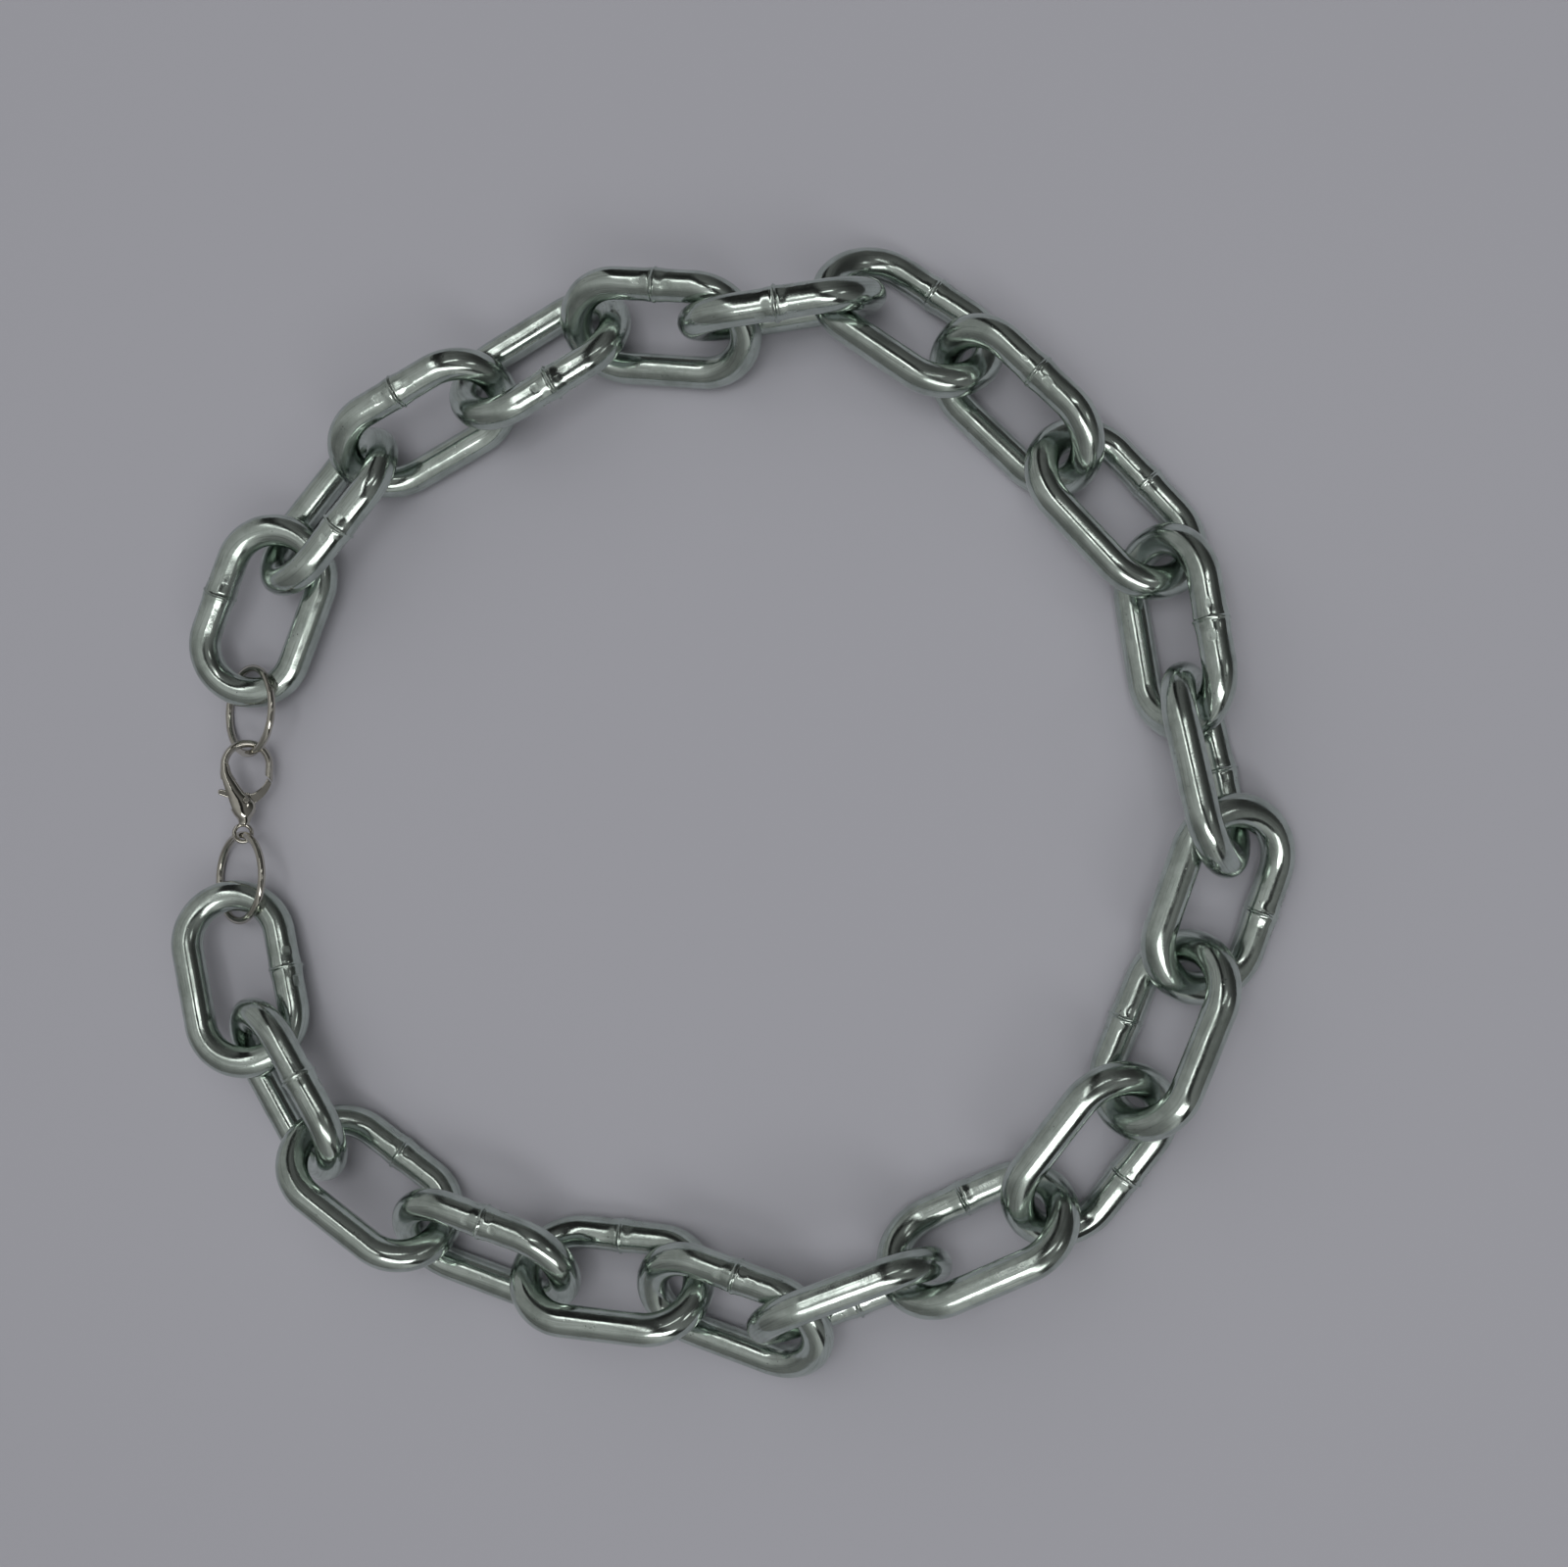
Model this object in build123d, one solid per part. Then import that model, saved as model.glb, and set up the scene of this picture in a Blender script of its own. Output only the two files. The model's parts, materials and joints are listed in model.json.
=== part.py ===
"""Chunky chain necklace: 22 welded steel links closed by two jump rings and a lobster clasp.

All sizes are millimetres. The necklace lies closed on a flat surface, +Z is up and the
origin is the middle of its bounding box at floor height. Each piece is drawn in its own
frame (X along the chain, Y towards the middle of the loop, Z out of its flat side) and is
then laid down. Links are laid one after another so that every crown bears in the next.
"""

from build123d import *
import math
import os
import numpy as np

# Links (short-link chain, nominal 4.5 mm wire)
WIRE = 4.5
INNER_LENGTH = 20.0
OUTER_WIDTH = 18.0
WELD_UPSET = 0.12
WELD_RIDGE = 0.40
WELD_HALF = 1.9
RIDGE_HALF = 0.36
GRIP_START = 1.1
GRIP_END = 3.5
GRIP_DEPTH = 0.12
GRIP_ANGLE = 52

# Jump rings
RING_WIRE = 1.1
RING_INNER = 11.5
RING_CUT = 0.3
RING_LEAN = 35.0

# Lobster clasp
HOOK_INNER = 5.2
HOOK_BAR = 1.15
HOOK_THICK = 1.7
CLASP_SPAN = 12.6
CLASP_LEAN = -26.0
BODY_WIDTH = 4.2
BODY_THICK = 2.5
EYE_RADIUS = 1.25
EYE_WIRE = 0.62
PIVOT = (7.7, 0.2)
HUB_RADIUS = 1.1
TRIGGER_THICK = 0.9
TRIGGER_REACH = 4.35
SLOT_START = 4.9
PIN_DIAMETER = 0.9
SPRING_THICK = 0.15

# Clasp body sections: distance along, offset, share of half width and of half thickness
SHELL = [
    (3.6, -2.97, 0.37, 0.74),
    (4.6, -2.60, 0.50, 0.82),
    (5.7, -2.00, 0.62, 0.90),
    (6.8, -1.28, 0.76, 0.96),
    (7.9, -0.45, 0.96, 1.00),
    (9.1, -0.12, 0.88, 0.98),
    (10.3, -0.06, 0.54, 0.80),
]

# Clearances
SEAT_GAP = 0.15
HOOK_GAP = 0.35
RUNNING_GAP = 0.05
SEATED_PIN_GAP = 0.02
SIDE_GAP = 0.1
SWING_GAP = 0.12
SPRING_GAP = 0.15

# One row per link, from the clasp's eye round to its hook: heading (degrees from +X),
# lean (inner leg up), tilt (front end up), slack (mm short of taut) and welded leg (+1 inner)
LAY = [
    (-76, -12, 5, 0.0, 1),
    (-59, 46, 0, 0.0, 1),
    (-35, -42, 0, 0.5, 1),
    (-17, 42, 2, 0.5, 1),
    (-4, -40, 0, 0.7, 1),
    (-16, 34, 5, 0.5, 1),
    (21, 74, -6, 0.0, -1),
    (25, -42, -1, 0.7, 1),
    (53, 36, 5, 0.5, -1),
    (68, -40, -5, 0.7, 1),
    (71, 30, 5, 0.0, -1),
    (102, 74, -4, 0.0, -1),
    (99, -45, -2, 0.5, -1),
    (132, 34, 3, 0.5, -1),
    (135, -46, 1, 0.5, -1),
    (144, 33, -2, 0.5, -1),
    (187, -100, 3, 0.0, -1),
    (174, -46, 0, 0.0, -1),
    (211, 36, 5, 0.7, 1),
    (208, -54, 0, 0.7, -1),
    (230, 44, 0, 0.5, 1),
    (247, -12, -5, 0.0, -1),
]

# Derived sizes
CROWN_RADIUS = (OUTER_WIDTH - WIRE) / 2
LEG = INNER_LENGTH + WIRE - 2 * CROWN_RADIUS
RING_RADIUS = (RING_INNER + RING_WIRE) / 2
HOOK_RADIUS = (HOOK_INNER + HOOK_BAR) / 2
BAR_EDGE_RADIUS = (HOOK_BAR / 2) ** 2 / (HOOK_THICK / 2)
SLOT_WIDTH = TRIGGER_THICK + 2 * SIDE_GAP
SLOT_END = PIVOT[0] + HUB_RADIUS + SPRING_GAP + SPRING_THICK
INNER_HALF = CROWN_RADIUS - WIRE / 2
SAMPLE_STEP = 0.6
SLIDE_STEP = 0.25


# ---------------------------------------------------------------- laying the chain
def frame_of(heading, lean, tilt):
    """Rows: along the chain, across towards the middle of the loop, out of the flat side."""
    h, l, t = np.radians([heading, lean, tilt])
    along = np.array([math.cos(h) * math.cos(t), math.sin(h) * math.cos(t), math.sin(t)])
    left = np.array([-math.sin(h), math.cos(h), 0.0])
    across = left * math.cos(l) + np.cross(along, left) * math.sin(l)
    return np.stack([along, across, np.cross(along, across)])


def flat(heading):
    """Level unit vector at a heading."""
    return np.array([math.cos(math.radians(heading)), math.sin(math.radians(heading)), 0.0])


def arc_points(centre_x, radius, start, end):
    """Points along an arc in the XY plane, start and end in degrees."""
    count = math.ceil(math.radians(abs(end - start)) * radius / SAMPLE_STEP) + 8
    a = np.radians(np.linspace(start, end, count))
    return np.stack([centre_x + radius * np.cos(a), radius * np.sin(a), 0 * a], -1)


def bar_points():
    """Lines just inside the hook's oval bar, all at the bar's edge radius from its surface."""
    half, thick = HOOK_BAR / 2, HOOK_THICK / 2
    lines = []
    for t in np.radians(range(0, 360, 30)):
        normal = np.array([math.cos(t) / half, math.sin(t) / thick])
        inset = BAR_EDGE_RADIUS * normal / np.linalg.norm(normal)
        line = arc_points(HOOK_INNER / 2, HOOK_RADIUS + half * math.cos(t) - inset[0], 75, 285)
        lines.append(line + np.array([0, 0, thick * math.sin(t) - inset[1]]))
    return np.concatenate(lines)


def leg_points(y):
    """Points along one straight leg of a link."""
    x = np.linspace(-LEG / 2, LEG / 2, math.ceil(LEG / SAMPLE_STEP) + 1)
    return np.stack([x, 0 * x + y, 0 * x], -1)


LINK_LINE = np.concatenate([
    arc_points(LEG / 2, CROWN_RADIUS, -90, 90),
    arc_points(-LEG / 2, CROWN_RADIUS, 90, 270),
    leg_points(CROWN_RADIUS),
    leg_points(-CROWN_RADIUS),
])
RING_LINE = arc_points(0, RING_RADIUS, 0, 360)
HOOK_LINE = bar_points()
EYE_LINE = arc_points(CLASP_SPAN, EYE_RADIUS, 0, 360)


def spacing(a, b):
    """Smallest distance between two sets of points."""
    squares = (a**2).sum(1)[:, None] + (b**2).sum(1)[None] - 2 * a @ b.T
    return math.sqrt(max(squares.min(), 0.0))


def slide_out(fixed, moving, direction, radii, near, far, gap=SEAT_GAP):
    """Farthest slide between near and far that keeps the gap. Past far the pieces unlink."""
    def clear(s):
        return spacing(fixed, moving + direction * s) - radii >= gap
    s = far
    while s >= near and not clear(s):
        s -= SLIDE_STEP
    if s < near:
        return None
    low, high = s, s + SLIDE_STEP
    for _ in range(8):
        middle = (low + high) / 2
        low, high = (middle, high) if clear(middle) else (low, middle)
    return low


def link_height(frame, weld_side):
    """Height of a link's centre when its lowest point is on the floor."""
    along, across = frame[0][2], frame[1][2]
    tube = LEG / 2 * abs(along) + CROWN_RADIUS * math.hypot(along, across) + WIRE / 2
    weld = WIRE / 2 + WELD_RIDGE - weld_side * CROWN_RADIUS * across
    return max(tube, weld)


def taut_place(previous, frame, curve, heading, height):
    """Centre of the next link and its slide, pulled away from the previous one."""
    centre, before, old_heading = previous
    crown = centre + np.array([LEG / 2, 0, 0]) @ before
    rear = np.array([-LEG / 2, 0, 0]) @ frame
    direction = flat((heading + old_heading) / 2)
    sideways = np.array([-direction[1], direction[0], 0.0])
    far = 2 * CROWN_RADIUS - WIRE + 2 * SLIDE_STEP
    best = None
    for offset in np.linspace(-0.8, 0.8, 15) * INNER_HALF:
        base = crown + sideways * offset - rear
        base[2] = height
        slide = slide_out(centre + LINK_LINE @ before, base + curve, direction, WIRE, 0.4 * far, far)
        if slide is not None and (best is None or slide > best[0]):
            best = (slide, base)
    return best[0], best[1], direction


def lay_links(spread):
    """Centre, frame and heading of every link; spread opens the loop by turning headings.

    Both end links stand on the jump rings, which pass under their crowns.
    """
    places = []
    middle = (len(LAY) - 1) / 2
    for i, (heading, lean, tilt, slack, weld_side) in enumerate(LAY):
        heading = heading + spread * (i - middle) / middle
        frame = frame_of(heading, lean, tilt)
        height = link_height(frame, weld_side)
        if i in (0, len(LAY) - 1):
            height += RING_WIRE + 2 * SEAT_GAP
        if not places:
            places.append((np.array([0.0, 0.0, height]), frame, heading))
            continue
        curve = LINK_LINE @ frame
        slide, base, direction = taut_place(places[-1], frame, curve, heading, height)
        before = places[-1][0] + LINK_LINE @ places[-1][1]
        while slack > 0 and spacing(before, base + direction * (slide - slack) + curve) < WIRE + SEAT_GAP:
            slack -= 0.1
        places.append((base + direction * (slide - max(slack, 0)), frame, heading))
    return places


def close_loop(places):
    """Rings and clasp pulled taut between the end links, and how far they fall short."""
    first, last = places[0], places[-1]
    end = last[0] + np.array([LEG / 2, 0, 0]) @ last[1]
    start = first[0] - np.array([LEG / 2, 0, 0]) @ first[1]
    heading = math.degrees(math.atan2(start[1] - end[1], start[0] - end[0]))
    along = flat(heading)
    end = end + INNER_HALF * along
    start = start - INNER_HALF * along
    ring = frame_of(heading, RING_LEAN, 0)
    clasp = frame_of(heading, CLASP_LEAN, 0)
    height = RING_RADIUS * math.sin(math.radians(RING_LEAN)) + RING_WIRE / 2
    ring_line = RING_LINE @ ring
    link_radii = (WIRE + RING_WIRE) / 2
    far = RING_INNER / 2 + SLIDE_STEP

    upper = np.array([end[0], end[1], height])
    slide = slide_out(last[0] + LINK_LINE @ last[1], upper + ring_line, along, link_radii, 0.4 * far, far)
    upper = upper + along * slide
    hook = upper + along * RING_INNER / 2
    bar_radii = BAR_EDGE_RADIUS + RING_WIRE / 2
    hook_line = hook + HOOK_LINE @ clasp
    slide = slide_out(upper + ring_line, hook_line, along, bar_radii, -0.5 * far, 0.1 * far, HOOK_GAP)
    hook = hook + along * slide
    eye = hook + along * CLASP_SPAN
    eye_line = hook + EYE_LINE @ clasp
    eye_far = far + EYE_RADIUS - EYE_WIRE / 2
    slide = slide_out(eye_line, eye + ring_line, along, (EYE_WIRE + RING_WIRE) / 2, 0.4 * far, eye_far)
    lower = eye + along * slide
    wanted = np.array([start[0], start[1], height])
    first_line = first[0] + LINK_LINE @ first[1]
    slide = slide_out(first_line, wanted + ring_line, -along, link_radii, 0.4 * far, far)
    wanted = wanted - along * slide
    return {
        "jump_ring_upper": (upper, ring),
        "clasp": (hook, clasp),
        "jump_ring_lower": (lower, ring),
        "shortfall": (wanted - lower) @ along,
    }


def lay_necklace():
    """Places of all pieces, with the loop spread until the rings and clasp just close it."""
    low, high = -4.0, 4.0
    falls = close_loop(lay_links(low))["shortfall"] > 0
    for _ in range(16):
        middle = (low + high) / 2
        if (close_loop(lay_links(middle))["shortfall"] > 0) == falls:
            low = middle
        else:
            high = middle
    links = lay_links((low + high) / 2)
    places = {f"link_{i + 1:02d}": (centre, frame) for i, (centre, frame, _) in enumerate(links)}
    closing = close_loop(links)
    for name in ("jump_ring_upper", "clasp", "jump_ring_lower"):
        places[name] = closing[name]
    shift = middle_of_box(places)
    return {name: (centre - shift, frame) for name, (centre, frame) in places.items()}


def middle_of_box(places):
    """Middle of the links' bounding box at floor height."""
    low, high = [], []
    for name, (centre, frame) in places.items():
        if not name.startswith("link_"):
            continue
        reach = LEG / 2 * abs(frame[0]) + CROWN_RADIUS * np.hypot(frame[0], frame[1]) + WIRE / 2
        low.append(centre - reach)
        high.append(centre + reach)
    low, high = np.min(low, 0), np.max(high, 0)
    return np.array([(low[0] + high[0]) / 2, (low[1] + high[1]) / 2, 0.0])


# ---------------------------------------------------------------- pieces
def make_welded_leg():
    """Leg with the upset and thin flash ridge left by the butt weld."""
    r = WIRE / 2
    upset = r + WELD_UPSET
    edges = [
        Line((-LEG / 2, 0), (-LEG / 2, r)),
        Line((-LEG / 2, r), (-WELD_HALF, r)),
        Spline((-WELD_HALF, r), (-RIDGE_HALF, upset), tangents=[(1, 0), (1, 0)]),
        ThreePointArc((-RIDGE_HALF, upset), (0, r + WELD_RIDGE), (RIDGE_HALF, upset)),
        Spline((RIDGE_HALF, upset), (WELD_HALF, r), tangents=[(1, 0), (1, 0)]),
        Line((WELD_HALF, r), (LEG / 2, r)),
        Line((LEG / 2, r), (LEG / 2, 0)),
        Line((LEG / 2, 0), (-LEG / 2, 0)),
    ]
    return revolve(make_face(edges), Axis.X)


def flatten_grips(leg, outward):
    """Leg with shallow flats either side of the weld where the welding jaws gripped it."""
    middle = (GRIP_START + GRIP_END) / 2
    block = Pos(0, 0, WIRE / 2 - GRIP_DEPTH + 1) * Box(GRIP_END - GRIP_START, WIRE, 2)
    for x in (-middle, middle):
        for turn in (90 - GRIP_ANGLE, 90 + GRIP_ANGLE):
            leg = leg - Pos(x, 0, 0) * Rot(-outward * turn, 0, 0) * block
    return leg


def make_link(weld_side):
    """Stadium-shaped link: two half-round crowns, a plain leg and a welded leg."""
    section = Plane(origin=(LEG / 2, -CROWN_RADIUS, 0), z_dir=(1, 0, 0)) * Circle(WIRE / 2)
    crown = revolve(section, Axis((LEG / 2, 0, 0), (0, 0, 1)), 180)
    plain = Pos(0, -weld_side * CROWN_RADIUS, 0) * Rot(0, 90, 0) * Cylinder(WIRE / 2, LEG)
    welded = Pos(0, weld_side * CROWN_RADIUS, 0) * flatten_grips(make_welded_leg(), weld_side)
    return crown + Rot(0, 0, 180) * crown + plain + welded


def make_ring(cut_angle):
    """Open-cut round ring with its cut at the given angle."""
    cut = math.degrees(RING_CUT / RING_RADIUS)
    section = Plane(origin=(RING_RADIUS, 0, 0), x_dir=(1, 0, 0), z_dir=(0, -1, 0)) * Circle(RING_WIRE / 2)
    return Rot(0, 0, cut_angle + cut / 2) * revolve(section, Axis.Z, 360 - cut)


def body_section(x, y, half_width, half_thick):
    """Ellipse across the clasp body."""
    return Plane(origin=(x, y, 0), x_dir=(0, 1, 0), z_dir=(1, 0, 0)) * Ellipse(half_width, half_thick)


def make_hook():
    """Hook bar from the body round to the tip, trimmed by the trigger's swing."""
    section = body_section(HOOK_INNER / 2, -HOOK_RADIUS, HOOK_BAR / 2, HOOK_THICK / 2)
    bar = revolve(section, Axis((HOOK_INNER / 2, 0, 0), (0, 0, -1)), 180)
    tip = body_section(HOOK_INNER / 2, HOOK_RADIUS, HOOK_BAR / 2, HOOK_THICK / 2)
    swing = Pos(*PIVOT, 0) * Cylinder(TRIGGER_REACH + SWING_GAP, 4 * HOOK_THICK)
    return bar + (extrude(tip, HOOK_INNER) - swing)


def make_shell():
    """Hollow teardrop between the hook bar and the neck of the eye."""
    half, thick = BODY_WIDTH / 2, BODY_THICK / 2
    sections = [body_section(HOOK_INNER / 2, -HOOK_RADIUS, HOOK_BAR / 2, HOOK_THICK / 2)]
    for x, y, width, depth in SHELL:
        sections.append(body_section(x, y, width * half, depth * thick))
    sections.append(body_section(CLASP_SPAN - EYE_RADIUS, 0, 0.65, EYE_WIRE / 2 + 0.2))
    return loft(sections)


def make_clasp_body():
    """Hook, hollow body and eye in one piece."""
    eye = Pos(CLASP_SPAN, 0, 0) * Torus(EYE_RADIUS, EYE_WIRE / 2)
    slot_length = SLOT_END - SLOT_START
    slot = Pos((SLOT_START + SLOT_END) / 2, 0, 0) * Box(slot_length, 20, SLOT_WIDTH)
    bore = Pos(*PIVOT, 0) * Cylinder(PIN_DIAMETER / 2 + SEATED_PIN_GAP, 4 * BODY_THICK)
    return make_hook() + (make_shell() - slot - bore) + eye


def make_trigger():
    """Flat trigger: hub, tapering arm that closes the hook and thumb lever."""
    px, py = PIVOT
    hub = Pos(px, py) * Circle(HUB_RADIUS)
    arm_edges = [
        ThreePointArc((px + 0.9, py + 0.5), (6.9, 2.75), (3.0, 3.8)),
        Line((3.0, 3.8), (3.0, 3.1)),
        ThreePointArc((3.0, 3.1), (5.6, 2.3), (px - 0.7, py - 0.5)),
        Line((px - 0.7, py - 0.5), (px + 0.9, py + 0.5)),
    ]
    lever = SlotArc(ThreePointArc((px, py), (7.25, -1.6), (6.75, -3.4)), 0.95)
    swing = Pos(px, py) * Circle(TRIGGER_REACH)
    outline = hub + lever + (make_face(arm_edges) & swing)
    plate = Pos(0, 0, -TRIGGER_THICK / 2) * extrude(outline, TRIGGER_THICK)
    return plate - Pos(px, py, 0) * Cylinder(PIN_DIAMETER / 2 + RUNNING_GAP, BODY_THICK)


def make_pin():
    """Pivot pin with slightly domed ends standing proud of the body."""
    pin = Pos(*PIVOT, 0) * Cylinder(PIN_DIAMETER / 2, BODY_THICK + 0.12)
    ends = pin.edges().filter_by(GeomType.CIRCLE)
    return fillet(ends, 0.12)


def make_spring():
    """Leaf spring strip bent round the hub at the bottom of the slot."""
    outer = SLOT_END - PIVOT[0]
    middle = outer - SPRING_THICK / 2
    bend = CenterArc((0, 0), middle, -40, 80)
    strip = Pos(*PIVOT) * SlotArc(bend, SPRING_THICK)
    return Pos(0, 0, -TRIGGER_THICK / 2) * extrude(strip, TRIGGER_THICK)


def laid(piece, place):
    """Piece moved from its own frame to its place in the necklace."""
    centre, frame = place
    plane = Plane(origin=tuple(centre), x_dir=tuple(frame[0]), z_dir=tuple(frame[2]))
    return plane.location * piece


def make_parts():
    """Every piece of the necklace in place, by name."""
    places = lay_necklace()
    parts = {}
    for i, row in enumerate(LAY):
        name = f"link_{i + 1:02d}"
        parts[name] = laid(make_link(row[4]), places[name])
    parts["jump_ring_upper"] = laid(make_ring(-117), places["jump_ring_upper"])
    parts["jump_ring_lower"] = laid(make_ring(-60), places["jump_ring_lower"])
    parts["clasp_body"] = laid(make_clasp_body(), places["clasp"])
    parts["clasp_trigger"] = laid(make_trigger(), places["clasp"])
    parts["clasp_pin"] = laid(make_pin(), places["clasp"])
    parts["clasp_spring"] = laid(make_spring(), places["clasp"])
    return parts


if __name__ == "__main__":
    os.makedirs("parts", exist_ok=True)
    for name, part in make_parts().items():
        solids = part.solids()
        print(name, len(solids), round(sum(s.volume for s in solids), 2))
        export_step(part, f"parts/{name}.step")
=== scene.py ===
import json
import math

import bpy
import numpy as np
from mathutils import Matrix, Vector


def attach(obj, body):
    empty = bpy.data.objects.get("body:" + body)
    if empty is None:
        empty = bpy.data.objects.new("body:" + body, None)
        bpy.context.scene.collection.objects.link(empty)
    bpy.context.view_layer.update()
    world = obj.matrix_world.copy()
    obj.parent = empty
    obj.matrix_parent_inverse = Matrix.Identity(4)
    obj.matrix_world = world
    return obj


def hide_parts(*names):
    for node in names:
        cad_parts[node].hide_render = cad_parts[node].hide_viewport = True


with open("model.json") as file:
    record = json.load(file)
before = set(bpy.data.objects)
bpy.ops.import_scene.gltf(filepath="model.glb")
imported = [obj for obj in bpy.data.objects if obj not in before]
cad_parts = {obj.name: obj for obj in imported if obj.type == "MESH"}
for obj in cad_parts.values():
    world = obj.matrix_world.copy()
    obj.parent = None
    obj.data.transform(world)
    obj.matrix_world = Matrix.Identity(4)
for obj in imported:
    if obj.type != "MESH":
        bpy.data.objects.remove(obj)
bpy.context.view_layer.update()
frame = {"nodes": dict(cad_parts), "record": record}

# A chain necklace of welded, zinc-plated links with a lobster clasp, lying on a pale floor.
# Lengths are in metres, except where a comment says mm.
MILLIMETRE = 0.001

# Camera: above the necklace and a little to its right, tipped back towards the middle
CAMERA_AT = (0.0602, -0.0055, 0.2570)
CAMERA_LOOK = (-0.1908, 0.0349, -0.9810)
CAMERA_NEAR = 0.01
SENSOR_WIDTH = 36.0
LENS = 42.75

# Studio walls: brighter round the soft box, dark to the right and low at the front left.
# Each list gives brightness by the cosine of the angle to its direction.
BOX_TOWARDS = (0.30, -0.54, 0.79)
GLOW = [(0.0, 0.29), (0.45, 0.36), (0.75, 0.43), (0.90, 0.46), (1.0, 0.50)]
RIGHT_TOWARDS = (0.89, 0.46, 0.01)
RIGHT_SHADE = [(0.00, 1.0), (0.04, 0.05), (0.25, 0.05), (0.36, 0.42), (0.60, 0.36), (0.90, 0.12)]
FRONT_TOWARDS = (-0.55, -0.75, 0.20)
FRONT_SHADE = [(0.60, 1.0), (0.90, 0.45)]
BACKDROP = (0.30, 0.30, 0.33, 1.0)

# Lamps: name, direction, direction of the long side, size, watts, and seen in reflections
LAMP_DISTANCE = 0.9
LAMPS = [
    ("soft_box", BOX_TOWARDS, (0.62, -0.30, -0.38), (0.66, 0.22), 1.55, True),
    ("light_strip", (-0.15, 0.27, 0.95), (-0.38, 0.72, -0.28), (0.70, 0.085), 0.37, True),
    ("window_back", (0.33, 0.28, 0.90), (0.27, 0.12, -0.10), (0.28, 0.07), 0.16, True),
    ("window_side", (0.74, 0.04, 0.67), (0.2, 0.6, -0.3), (0.16, 0.09), 0.08, True),
    ("fill", (-0.32, 0.50, 0.80), (0, 0, 1), (1.10, 1.10), 2.1, False),
    ("overhead", (0.07, 0, 1), (1, 0, 0), (0.40, 0.40), 2.0, False),
]

# Floor: a disc just under the links
FLOOR_RADIUS = 0.8
FLOOR_STEPS = 120
FLOOR_DROP = 0.00002
FLOOR_COLOUR = (0.38, 0.38, 0.415, 1.0)
FLOOR_ROUGHNESS = 0.9
FLOOR_SPECULAR = 0.1

# Zinc plating. Noises are scale per metre, detail and roughness, and stops are place and value.
ZINC_PALE = (0.58, 0.65, 0.60, 1.0)
ZINC_DULL = (0.43, 0.49, 0.445, 1.0)
STREAK_COLOUR = (0.20, 0.225, 0.205, 1.0)
SPECK_COLOUR = (0.03, 0.03, 0.03, 1.0)
BLOTCH_NOISE = (260.0, 5.0, 0.6)
BLOTCH_STOPS = [(0.42, 0.0), (0.66, 1.0)]
LINE_NOISE = (4200.0, 2.0, 0.5)
LINE_STRETCH = (1.0, 1.0, 0.05)
STREAK_STOPS = [(0.50, 0.0), (0.74, 0.42)]
PIT_SCALE = 1500.0
PIT_STOPS = [(0.0, 1.0), (0.22, 0.0)]
RARE_NOISE = (420.0, 3.0, 0.6)
RARE_STOPS = [(0.545, 0.0), (0.64, 1.0)]
CRUMB_NOISE = (2400.0, 2.0, 0.6)
GRAIN_NOISE = (4500.0, 1.0, 0.4)

# How much each mark adds to the zinc's roughness and to its height
ZINC_ROUGHNESS = 0.12
BLOTCH_ROUGHNESS = 0.10
STREAK_ROUGHNESS = 0.12
PRESSED_ROUGHNESS = 0.20
LINE_HEIGHT = 0.45
GRAIN_HEIGHT = 0.4
SPECK_HEIGHT = -2.0
CRUMB_HEIGHT = 4.0

# Strength of the bump and the distance it stands for
ZINC_BUMP = (1.0, 0.000012)
WAVE_BUMP = (0.25, 0.00005)

# Nickel and spring steel: pale and deep colour and least roughness, then their faint waves
NICKEL = ((0.64, 0.62, 0.55, 1.0), (0.42, 0.405, 0.355, 1.0), 0.02)
SPRING_STEEL = ((0.36, 0.37, 0.40, 1.0), (0.24, 0.25, 0.28, 1.0), 0.18)
WAVE_NOISE = (700.0, 2.0, 0.5)
WAVE_ROUGHNESS = 0.07

# Links: wire diameter, and steps round the wire, round a crown and along the plain leg
WIRE = 0.0045
ROUND_STEPS = 72
CROWN_STEPS = 60
PLAIN_STEPS = 32

# Stations along the welded leg in mm from the weld: how far each spacing goes, and the spacing
WELD_STATIONS = (0.6, 0.055)
GRIP_STATIONS = (3.9, 0.14)
LEG_END_STATIONS = 9
FAR_FROM_WELD = 99.0

# Butt weld: a thickened part and a flash ridge on it that wavers in height and place. Lengths
# are in mm, turns in radians, and the ridge's level, tufts and highest place are parts of the
# packed link's ridge. A waver is how often it comes round the wire and how far it leans; its
# height is that lean times WAVER_HEIGHT.
UPSET_HALF = 1.9
UPSET = 0.12
RIDGE_HALF = 0.25
RIDGE_SHARPNESS = 0.6
RIDGE_LEVEL = 0.55
RIDGE_MOST = 0.96
TUFT = 0.35
TUFT_WIDTH = 0.5
TUFT_TURN = 0.4
WAVERS = ((2, 0.07), (3, 0.04), (5, 0.04), (9, 0.02))
WAVER_HEIGHT = 1.6
GROOVE = 0.02
GROOVE_AT = 0.42
GROOVE_WIDTH = 0.12
ANY_TURN = 6

# Flats that the welder's jaws pressed either side of the weld, in mm and degrees: reach along
# the leg with its unevenness and soft ends, depth and turn round the wire, and creases in them
GRIP = (1.1, 3.5)
GRIP_UNEVEN = (0.4, 0.6)
GRIP_FADE = (0.5, 0.9)
GRIP_DEPTH = 0.13
GRIP_SHALLOWEST = 0.35
GRIP_TURN = 52.0
GRIP_TURN_UNEVEN = 9
LEAST_FACING = 0.3
GRIP_EDGE = 0.06
CREASE = 0.02
CREASE_EDGE = 0.05
CREASE_WAVELENGTH = 0.65
CREASE_STRETCH = (0.35, 1, 1)
GRIP_DEEPEST = 0.18
PRESSED_DEPTH = 0.07

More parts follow.
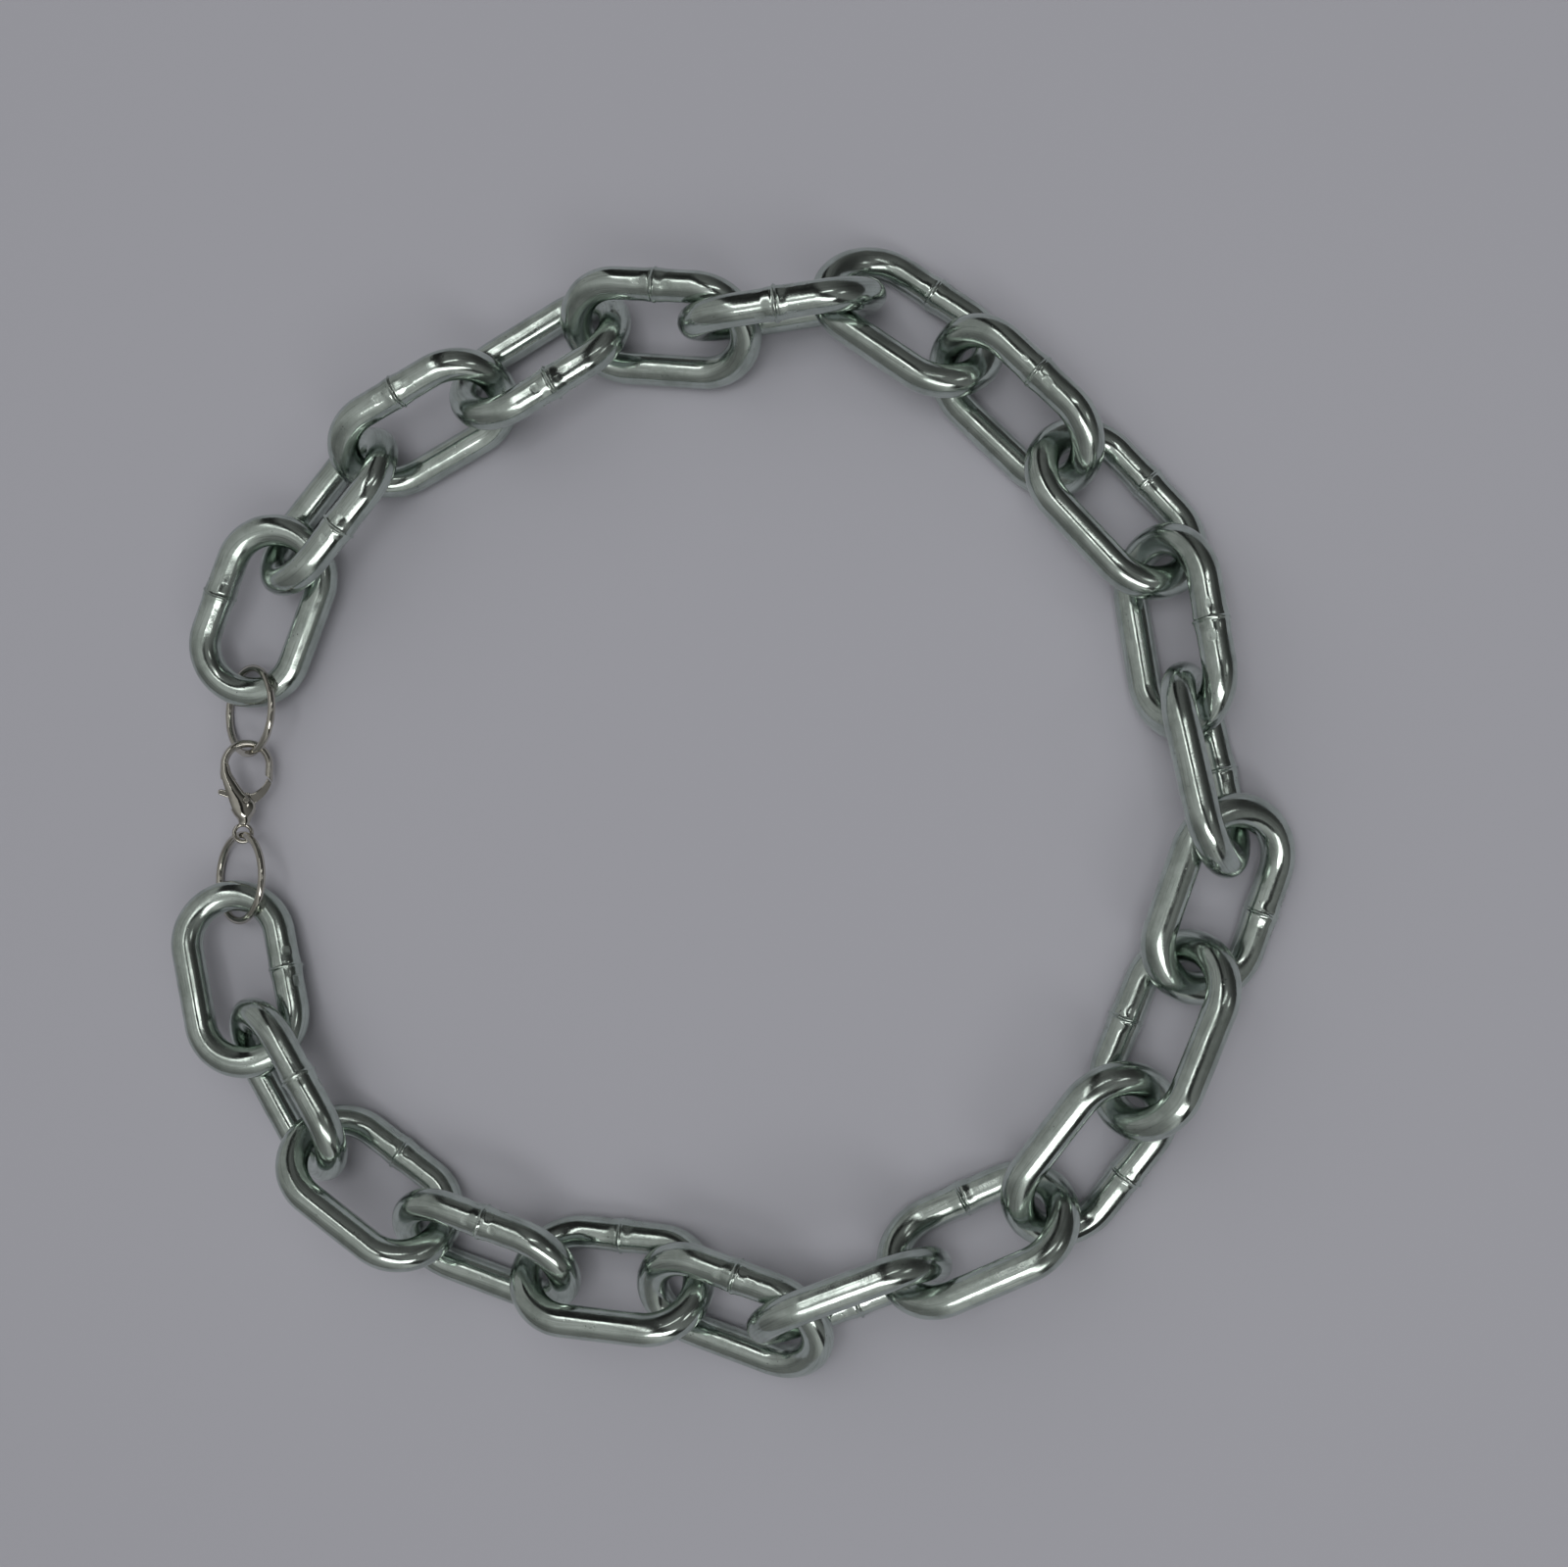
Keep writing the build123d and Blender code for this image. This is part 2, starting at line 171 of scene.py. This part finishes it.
# Unevenness and knocks all over a link, in mm: ripples are wavelength and depth
RIPPLES = ((3.2, 0.004), (0.9, 0.001))
RIPPLE_WAVES = 14
RIPPLE_SPREAD = (0.7, 1.5)
DENTS = 14
DENT_SIZE = (0.25, 0.9)
DENT_STRETCH = (0.5, 1.6)
DENT_DEPTH = (0.004, 0.025)

# Clasp castings: voxel size in mm, how far each smoothing goes, and how often it is repeated
CAST_VOXEL = 0.05
CAST_MELT = 0.5
CASTINGS = {"clasp_body": 18, "clasp_trigger": 70}


# ---------------------------------------------------------------- node helpers
def new_material(name):
    """Material with an empty node tree."""
    material = bpy.data.materials.new(name)
    material.use_nodes = True
    tree = material.node_tree
    tree.nodes.clear()
    return material, tree


def add_node(tree, kind, **settings):
    """New node, with each setting put on the socket or the property of that name."""
    made = tree.nodes.new(kind)
    for key, value in settings.items():
        if key in made.inputs.keys():
            made.inputs[key].default_value = value
        else:
            setattr(made, key, value)
    return made


def fill_sockets(tree, sockets, values):
    """Links each value that is a socket, and writes each that is a number or a colour."""
    for socket, value in zip(sockets, values):
        if isinstance(value, (int, float, tuple)):
            socket.default_value = value
        else:
            tree.links.new(value, socket)


def ramp(tree, source, stops):
    """Grey value by the source's, between stops of place and value."""
    made = add_node(tree, "ShaderNodeValToRGB")
    while len(made.color_ramp.elements) < len(stops):
        made.color_ramp.elements.new(0.5)
    for element, (place, value) in zip(made.color_ramp.elements, stops):
        element.position = place
        element.color = (value, value, value, 1.0)
    tree.links.new(source, made.inputs["Fac"])
    return made.outputs["Color"]


def maths(tree, operation, a, b):
    """Result of one operation on two values."""
    made = add_node(tree, "ShaderNodeMath", operation=operation)
    fill_sockets(tree, made.inputs, (a, b))
    return made.outputs[0]


def weighted_sum(tree, start, *terms):
    """A first value and the terms after it, each a value with its weight."""
    total = start
    for value, weight in terms:
        total = maths(tree, "ADD", total, maths(tree, "MULTIPLY", value, weight))
    return total


def mixed(tree, factor, a, b):
    """Colour between two, where each is a colour or a socket."""
    made = add_node(tree, "ShaderNodeMix", data_type="RGBA")
    tree.links.new(factor, made.inputs["Factor"])
    fill_sockets(tree, (made.inputs[6], made.inputs[7]), (a, b))
    return made.outputs[2]


def noise(tree, vector, scale, detail, rough):
    """Noise over a place, from 0 to 1."""
    made = add_node(tree, "ShaderNodeTexNoise", Scale=scale, Detail=detail, Roughness=rough)
    tree.links.new(vector, made.inputs["Vector"])
    return made.outputs["Fac"]


def stretched(tree, vector, scale):
    """A place multiplied by a scale on each axis."""
    made = add_node(tree, "ShaderNodeMapping", Scale=scale)
    tree.links.new(vector, made.inputs["Vector"])
    return made.outputs["Vector"]


def attribute(tree, name):
    """Node that reads a mesh attribute."""
    return add_node(tree, "ShaderNodeAttribute", attribute_name=name)


def finish_metal(tree, colour, rough, height, bump):
    """Metal surface from its colour, roughness and height, with the bump's strength and distance."""
    strength, distance = bump
    relief = add_node(tree, "ShaderNodeBump", Strength=strength, Distance=distance)
    tree.links.new(height, relief.inputs["Height"])
    shader = add_node(tree, "ShaderNodeBsdfPrincipled", Metallic=1.0)
    tree.links.new(colour, shader.inputs["Base Color"])
    tree.links.new(rough, shader.inputs["Roughness"])
    tree.links.new(relief.outputs["Normal"], shader.inputs["Normal"])
    out = add_node(tree, "ShaderNodeOutputMaterial")
    tree.links.new(shader.outputs["BSDF"], out.inputs["Surface"])


# ---------------------------------------------------------------- materials
def zinc_material():
    """Bright zinc plating: greenish grey, drawn lines, dull blotches, dark specks and worn flats."""
    material, tree = new_material("zinc")
    here = add_node(tree, "ShaderNodeTexCoord").outputs["Object"]
    wire = attribute(tree, "wire").outputs["Vector"]
    pressed = attribute(tree, "pressed").outputs["Fac"]

    blotch = ramp(tree, noise(tree, here, *BLOTCH_NOISE), BLOTCH_STOPS)
    grain = noise(tree, here, *GRAIN_NOISE)
    lines = noise(tree, stretched(tree, wire, LINE_STRETCH), *LINE_NOISE)
    streak = ramp(tree, lines, STREAK_STOPS)
    pits = add_node(tree, "ShaderNodeTexVoronoi", Scale=PIT_SCALE)
    tree.links.new(here, pits.inputs["Vector"])
    pit = ramp(tree, pits.outputs["Distance"], PIT_STOPS)
    rare = ramp(tree, noise(tree, here, *RARE_NOISE), RARE_STOPS)
    speck = maths(tree, "MULTIPLY", pit, rare)
    crumbs = maths(tree, "MULTIPLY", noise(tree, here, *CRUMB_NOISE), pressed)

    colour = mixed(tree, blotch, ZINC_PALE, ZINC_DULL)
    colour = mixed(tree, streak, colour, STREAK_COLOUR)
    colour = mixed(tree, speck, colour, SPECK_COLOUR)
    rough = weighted_sum(
        tree,
        ZINC_ROUGHNESS,
        (blotch, BLOTCH_ROUGHNESS),
        (streak, STREAK_ROUGHNESS),
        (pressed, PRESSED_ROUGHNESS),
    )
    height = weighted_sum(
        tree,
        0.0,
        (lines, LINE_HEIGHT),
        (grain, GRAIN_HEIGHT),
        (speck, SPECK_HEIGHT),
        (crumbs, CRUMB_HEIGHT),
    )
    finish_metal(tree, colour, rough, height, ZINC_BUMP)
    return material


def polished_metal(name, pale, deep, least_rough):
    """Polished metal with faint waviness."""
    material, tree = new_material(name)
    here = add_node(tree, "ShaderNodeTexCoord").outputs["Object"]
    wave = noise(tree, here, *WAVE_NOISE)
    colour = mixed(tree, wave, pale, deep)
    rough = weighted_sum(tree, least_rough, (wave, WAVE_ROUGHNESS))
    finish_metal(tree, colour, rough, wave, WAVE_BUMP)
    return material


def floor_material():
    """Plain matt paint."""
    material, tree = new_material("floor_paint")
    shader = add_node(tree, "ShaderNodeBsdfPrincipled", Roughness=FLOOR_ROUGHNESS)
    shader.inputs["Base Color"].default_value = FLOOR_COLOUR
    shader.inputs["Specular IOR Level"].default_value = FLOOR_SPECULAR
    out = add_node(tree, "ShaderNodeOutputMaterial")
    tree.links.new(shader.outputs["BSDF"], out.inputs["Surface"])
    return material


# ---------------------------------------------------------------- a link's path
def mesh_arrays(obj):
    """Vertex places, face centres and face areas of a mesh."""
    mesh = obj.data
    points = np.empty(len(mesh.vertices) * 3)
    mesh.vertices.foreach_get("co", points)
    areas = np.empty(len(mesh.polygons))
    mesh.polygons.foreach_get("area", areas)
    centres = np.empty(len(mesh.polygons) * 3)
    mesh.polygons.foreach_get("center", centres)
    return points.reshape(-1, 3), centres.reshape(-1, 3), areas


def link_frame(obj):
    """Rows along, across (welded leg at +) and out of the flat; middle; length, width and ridge."""
    points, centres, areas = mesh_arrays(obj)
    middle = (centres * areas[:, None]).sum(0) / areas.sum()
    offsets = centres - middle
    _, vectors = np.linalg.eigh((offsets * areas[:, None]).T @ offsets)
    along, across = vectors[:, 2], vectors[:, 1]
    reach = (points - middle) @ across
    if reach.max() < -reach.min():
        across = -across
    rows = np.stack([along, across, np.cross(along, across)])
    local = (points - middle) @ rows.T
    low, high = local.min(0), local.max(0)
    ridge = (high[2] - low[2] - WIRE) / 2
    high[1] -= ridge
    middle = middle + ((low + high) / 2) @ rows
    return rows, middle, high[0] - low[0], high[1] - low[1], ridge


def leg_stations(half):
    """Places along the welded leg in mm, closest together at the weld."""
    weld_end, weld_step = WELD_STATIONS
    grip_end, grip_step = GRIP_STATIONS
    side = np.concatenate([
        np.arange(0, weld_end, weld_step),
        np.arange(weld_end, grip_end, grip_step),
        np.linspace(grip_end, half, LEG_END_STATIONS),
    ])
    return np.concatenate([-side[:0:-1], side])


def link_path(length, width):
    """Round the link's centre-line: points, outward directions and place on the welded leg in mm."""
    radius = (width - WIRE) / 2
    half = (length - width) / 2
    quarter = math.pi / 2
    welded = leg_stations(half / MILLIMETRE)[:-1]
    plain = np.linspace(half, -half, PLAIN_STEPS, endpoint=False)
    crown = np.linspace(quarter, -quarter, CROWN_STEPS, endpoint=False)
    turn = np.concatenate([
        np.full(len(welded), quarter),
        crown,
        np.full(PLAIN_STEPS, -quarter),
        crown - math.pi,
    ])
    along = np.concatenate([
        welded * MILLIMETRE,
        np.full(CROWN_STEPS, half),
        plain,
        np.full(CROWN_STEPS, -half),
    ])
    outward = np.stack([np.cos(turn), np.sin(turn)], 1)
    points = radius * outward
    points[:, 0] += along
    weld_place = np.full(len(turn), FAR_FROM_WELD)
    weld_place[: len(welded)] = welded
    return points, outward, weld_place


# ---------------------------------------------------------------- a link's surface
def smooth(x):
    """Soft step from 0 to 1."""
    x = np.clip(x, 0, 1)
    return x * x * (3 - 2 * x)


def ripple(points, random, wavelength):
    """Smooth uneven field between about -1 and 1 over points, in mm."""
    field = np.zeros(points.shape[:-1])
    for _ in range(RIPPLE_WAVES):
        wave = random.normal(size=3)
        wave *= 2 * math.pi / (wavelength * np.linalg.norm(wave)) * random.uniform(*RIPPLE_SPREAD)
        field += np.cos(points @ wave + random.uniform(0, 2 * math.pi))
    return field / math.sqrt(RIPPLE_WAVES)


def weld_height(x, angle, random, ridge):
    """Upset and flash ridge of the butt weld in mm, higher at its two tufts."""
    upset = UPSET * smooth((UPSET_HALF - abs(x)) / (UPSET_HALF - RIDGE_HALF))
    tuft_turn = random.uniform(-TUFT_TURN, TUFT_TURN)
    uneven = RIDGE_LEVEL + TUFT * np.exp(-((np.cos(angle - tuft_turn) / TUFT_WIDTH) ** 2))
    lean = 0
    for times, amount in WAVERS:
        height = WAVER_HEIGHT * amount
        uneven = uneven + height * np.cos(times * angle + random.uniform(0, ANY_TURN))
        lean = lean + amount * np.cos(times * angle + random.uniform(0, ANY_TURN))
    from_ridge = abs(x - lean)
    peak = np.clip(1 - from_ridge / RIDGE_HALF, 0, 1) ** RIDGE_SHARPNESS
    beside = np.exp(-(((from_ridge - GROOVE_AT) / GROOVE_WIDTH) ** 2))
    deeper_side = np.sign(x) * np.cos(angle + random.uniform(0, ANY_TURN))
    groove = GROOVE * beside * (1 + deeper_side)
    return upset + (ridge - UPSET) * np.clip(uneven, 0, RIDGE_MOST) * peak - groove


def grip_depth(x, angle, radius, random, creases):
    """Depth in mm of the flats that the welder's jaws pressed either side of the weld."""
    depth = np.zeros(np.broadcast(x, angle).shape)
    for side in (-1, 1):
        for turn in (-GRIP_TURN, GRIP_TURN):
            start = GRIP[0] + random.uniform(0, GRIP_UNEVEN[0])
            end = GRIP[1] - random.uniform(0, GRIP_UNEVEN[1])
            along = smooth((side * x - start) / GRIP_FADE[0]) * smooth((end - side * x) / GRIP_FADE[1])
            turned = turn + random.uniform(-GRIP_TURN_UNEVEN, GRIP_TURN_UNEVEN)
            facing_jaw = np.maximum(np.cos(angle - math.radians(turned)), LEAST_FACING)
            flat = (radius - GRIP_DEPTH * random.uniform(GRIP_SHALLOWEST, 1.0)) / facing_jaw
            press = np.clip(radius - flat, 0, GRIP_DEPTH)
            press = press * smooth(press / GRIP_EDGE)
            creased = press + CREASE * creases * smooth(press / CREASE_EDGE)
            depth = np.maximum(depth, np.clip(creased, 0, GRIP_DEEPEST) * along)
    return depth


def dent_depth(points, random):
    """Depth in mm of small knocks scattered over the link."""
    surface = points.reshape(-1, 3)
    depth = np.zeros(points.shape[:-1])
    for _ in range(DENTS):
        at = surface[random.integers(len(surface))]
        size = random.uniform(*DENT_SIZE)
        stretch = np.array([random.uniform(*DENT_STRETCH), random.uniform(*DENT_STRETCH), 1.0])
        away = ((points - at) * stretch / size) ** 2
        depth += random.uniform(*DENT_DEPTH) * np.exp(-away.sum(-1))
    return depth


def tube_faces(stations):
    """Four-sided faces of a closed tube, one ring of vertices after another."""
    along = np.arange(stations)[:, None] * ROUND_STEPS
    next_along = (along + ROUND_STEPS) % (stations * ROUND_STEPS)
    around = np.arange(ROUND_STEPS)[None, :]
    next_around = (around + 1) % ROUND_STEPS
    corners = (along + around, along + next_around, next_along + next_around, next_along + around)
    return np.stack(corners, -1).reshape(-1, 4)


def wire_places(centre, angle, weld_place, random):
    """Each vertex's place in the wire before it was bent, shifted so that links differ."""
    steps = np.linalg.norm(centre - np.roll(centre, 1, axis=0), axis=1)
    travelled = np.cumsum(steps)
    from_weld = travelled - travelled[np.argmin(abs(weld_place))]
    from_weld = np.where(from_weld < 0, from_weld + steps.sum(), from_weld)
    places = np.empty((len(centre), ROUND_STEPS, 3))
    places[..., 0] = WIRE / 2 * np.cos(angle) + random.uniform(0, 1)
    places[..., 1] = WIRE / 2 * np.sin(angle)
    places[..., 2] = from_weld[:, None]
    return places


def tube_radius(place, x, angle, ridge, random):
    """Radius of the wire and depth of the jaws' flats, in mm, at places on the plain wire."""
    radius = WIRE / 2 / MILLIMETRE
    creases = ripple(place * CREASE_STRETCH, random, CREASE_WAVELENGTH)
    depth = np.zeros(place.shape[:-1])
    for wavelength, amount in RIPPLES:
        depth = depth + amount * (1 + np.clip(ripple(place, random, wavelength), -1, 1))
    depth = depth + dent_depth(place, random)
    grip = grip_depth(x, angle, radius, random, creases)
    depth = np.maximum(depth, grip)
    raised = np.where(abs(x) < UPSET_HALF, weld_height(x, angle, random, ridge), 0)
    return radius - depth + raised, grip


def link_mesh(name, shape, random):
    """One link as a closed tube with its weld, jaw marks, knocks and slight unevenness."""
    rows, middle, length, width, ridge = shape
    centre, outward, weld_place = link_path(length, width)
    stations = len(centre)
    angle = np.linspace(0, 2 * math.pi, ROUND_STEPS, endpoint=False)[None, :]
    ring_x = outward[:, None, 0] * np.cos(angle)
    ring_y = outward[:, None, 1] * np.cos(angle)
    ring_z = np.broadcast_to(np.sin(angle), ring_x.shape)
    rim = np.stack([ring_x, ring_y, ring_z], -1)
    spine = np.concatenate([centre, np.zeros((stations, 1))], 1)[:, None, :]
    place = (spine + rim * WIRE / 2) / MILLIMETRE
    radius, grip = tube_radius(place, weld_place[:, None], angle, ridge / MILLIMETRE, random)
    local = spine + rim * (radius * MILLIMETRE)[..., None]
    world = middle + local.reshape(-1, 3) @ rows

    mesh = bpy.data.meshes.new(name)
    mesh.from_pydata(world.tolist(), [], tube_faces(stations).tolist())
    mesh.polygons.foreach_set("use_smooth", [True] * len(mesh.polygons))
    wire = wire_places(centre, angle, weld_place, random).ravel()
    mesh.attributes.new("wire", "FLOAT_VECTOR", "POINT").data.foreach_set("vector", wire)
    pressed = smooth(grip / PRESSED_DEPTH).ravel()
    mesh.attributes.new("pressed", "FLOAT", "POINT").data.foreach_set("value", pressed)
    mesh.update()
    return mesh


# ---------------------------------------------------------------- pieces
def body_of(node):
    """Name of the CAD body that holds a node."""
    for body, nodes in frame["record"]["behaviour"]["bodies"].items():
        if node in nodes:
            return body
    return "root"


def stand_in(piece, node):
    """Puts a piece in the place of its CAD node, on that node's body."""
    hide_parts(node)
    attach(piece, body_of(node))


def add_link(node, obj, material):
    """Detailed link in place of its CAD node, with its own seed."""
    random = np.random.default_rng(int(node[-2:]))
    mesh = link_mesh(f"{node}_forged", link_frame(obj), random)
    mesh.materials.append(material)
    piece = bpy.data.objects.new(f"{node}_forged", mesh)
    bpy.context.collection.objects.link(piece)
    stand_in(piece, node)


def add_casting(node, obj, material):
    """Smooth cast copy of a CAD node, in its place: the joins between its solids melt together."""
    mesh = obj.data.copy()
    mesh.transform(Matrix.Scale(1 / MILLIMETRE, 4))
    piece = bpy.data.objects.new(f"{node}_cast", mesh)
    bpy.context.collection.objects.link(piece)
    voxels = piece.modifiers.new("voxels", "REMESH")
    voxels.mode = "VOXEL"
    voxels.voxel_size = CAST_VOXEL
    melt = piece.modifiers.new("melt", "SMOOTH")
    melt.factor = CAST_MELT
    melt.iterations = CASTINGS[node]
    graph = bpy.context.evaluated_depsgraph_get()
    cast = bpy.data.meshes.new_from_object(piece.evaluated_get(graph))
    piece.modifiers.clear()
    piece.data = cast
    cast.transform(Matrix.Scale(MILLIMETRE, 4))
    cast.polygons.foreach_set("use_smooth", [True] * len(cast.polygons))
    cast.materials.clear()
    cast.materials.append(material)
    stand_in(piece, node)


def add_pieces():
    """Materials on every CAD node, and the detailed pieces in place of links and castings."""
    zinc = zinc_material()
    nickel = polished_metal("nickel", *NICKEL)
    spring_steel = polished_metal("spring_steel", *SPRING_STEEL)
    for name, obj in frame["nodes"].items():
        is_link = name.startswith("link_")
        material = zinc if is_link else nickel
        if name == "clasp_spring":
            material = spring_steel
        for slot in obj.material_slots:
            slot.material = material
        if is_link:
            add_link(name, obj, material)
        if name in CASTINGS:
            add_casting(name, obj, material)


# ---------------------------------------------------------------- stage
def placement(rows, middle):
    """Matrix that turns an object's axes to the rows and moves it to the middle."""
    place = Matrix.Identity(4)
    for axis in range(3):
        for column in range(3):
            place[axis][column] = rows[column][axis]
        place[axis][3] = middle[axis]
    return place


def add_floor():
    """Round floor, kept out of the exported part."""
    mesh = bpy.data.meshes.new("floor")
    turns = np.linspace(0, 2 * math.pi, FLOOR_STEPS, endpoint=False)
    rim = [(FLOOR_RADIUS * math.cos(turn), FLOOR_RADIUS * math.sin(turn), 0) for turn in turns]
    mesh.from_pydata(rim, [], [tuple(range(FLOOR_STEPS))])
    floor = bpy.data.objects.new("floor", mesh)
    bpy.context.collection.objects.link(floor)
    mesh.materials.append(floor_material())
    floor.location.z = -FLOOR_DROP


def add_lamp(name, towards, long_side, size, watts, in_reflections):
    """Rectangular lamp in that direction from the middle of the floor, facing it."""
    lamp = bpy.data.lights.new(name, "AREA")
    lamp.shape = "RECTANGLE"
    lamp.size, lamp.size_y = size
    lamp.energy = watts
    obj = bpy.data.objects.new(name, lamp)
    back = Vector(towards).normalized()
    side = (Vector(long_side) - back * back.dot(Vector(long_side))).normalized()
    obj.matrix_world = placement([side, back.cross(side), back], back * LAMP_DISTANCE)
    obj.visible_glossy = in_reflections
    bpy.context.collection.objects.link(obj)


def facing(tree, direction, towards):
    """How nearly a direction points towards a place, as their dot product."""
    made = add_node(tree, "ShaderNodeVectorMath", operation="DOT_PRODUCT")
    tree.links.new(direction, made.inputs[0])
    made.inputs[1].default_value = Vector(towards).normalized()
    return made.outputs["Value"]


def add_world():
    """Studio walls for light and reflections, and a plain backdrop for the camera."""
    world = bpy.data.worlds.new("studio")
    bpy.context.scene.world = world
    world.use_nodes = True
    tree = world.node_tree
    tree.nodes.clear()
    direction = add_node(tree, "ShaderNodeTexCoord").outputs["Generated"]
    walls = ramp(tree, facing(tree, direction, BOX_TOWARDS), GLOW)
    for towards, shade in ((RIGHT_TOWARDS, RIGHT_SHADE), (FRONT_TOWARDS, FRONT_SHADE)):
        walls = maths(tree, "MULTIPLY", walls, ramp(tree, facing(tree, direction, towards), shade))
    seen = add_node(tree, "ShaderNodeLightPath").outputs["Is Camera Ray"]
    colour = mixed(tree, seen, walls, BACKDROP)
    back = add_node(tree, "ShaderNodeBackground", Strength=1.0)
    tree.links.new(colour, back.inputs["Color"])
    out = add_node(tree, "ShaderNodeOutputWorld")
    tree.links.new(back.outputs["Background"], out.inputs["Surface"])


def add_camera():
    """Camera at the photograph's angle, level along the picture's width."""
    camera = bpy.data.cameras.new("camera")
    camera.sensor_fit = "HORIZONTAL"
    camera.sensor_width = SENSOR_WIDTH
    camera.lens = LENS
    camera.clip_start = CAMERA_NEAR
    obj = bpy.data.objects.new("camera", camera)
    bpy.context.collection.objects.link(obj)
    look = Vector(CAMERA_LOOK).normalized()
    right = look.cross(Vector((0, 1, 0))).normalized()
    obj.matrix_world = placement([right, right.cross(look), -look], CAMERA_AT)
    bpy.context.scene.camera = obj


add_pieces()
add_floor()
add_world()
for lamp_values in LAMPS:
    add_lamp(*lamp_values)
add_camera()
bpy.context.scene.view_settings.view_transform = "Standard"
